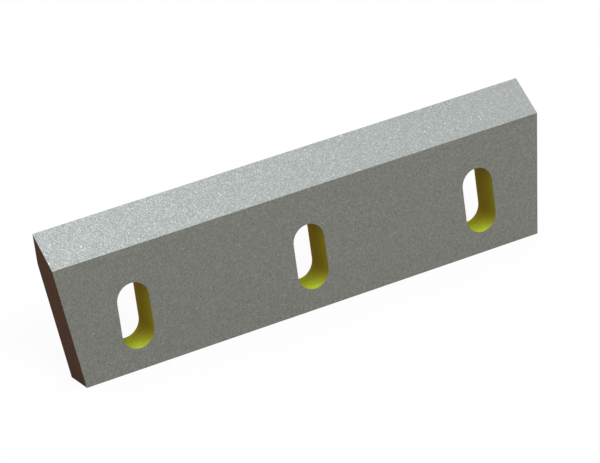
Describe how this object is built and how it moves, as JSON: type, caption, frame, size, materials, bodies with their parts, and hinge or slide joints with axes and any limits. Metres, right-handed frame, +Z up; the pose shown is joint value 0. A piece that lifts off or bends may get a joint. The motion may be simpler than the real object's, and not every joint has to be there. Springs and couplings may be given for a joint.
{
  "type": "rotor knife",
  "caption": "Thick ground steel knife bar: bevelled cutting edge along the top, outward-leaning ends, the right end a compound cut, and upright round-ended bolt slots through the flat face.",
  "frame": {"origin": "on the seat, the narrow bottom face, straight under the middle bolt slot and midway between the front and back faces", "axes": "+X along the knife towards its compound-cut end, +Y through the thickness from the front face to the back face, +Z up from the seat to the cutting edge"},
  "size_m": [0.3526, 0.022, 0.103],
  "materials": {
    "tool_steel": "ground"
  },
  "bodies": {
    "root": {"rotor_knife": "tool_steel"}
  },
  "joints": []
}
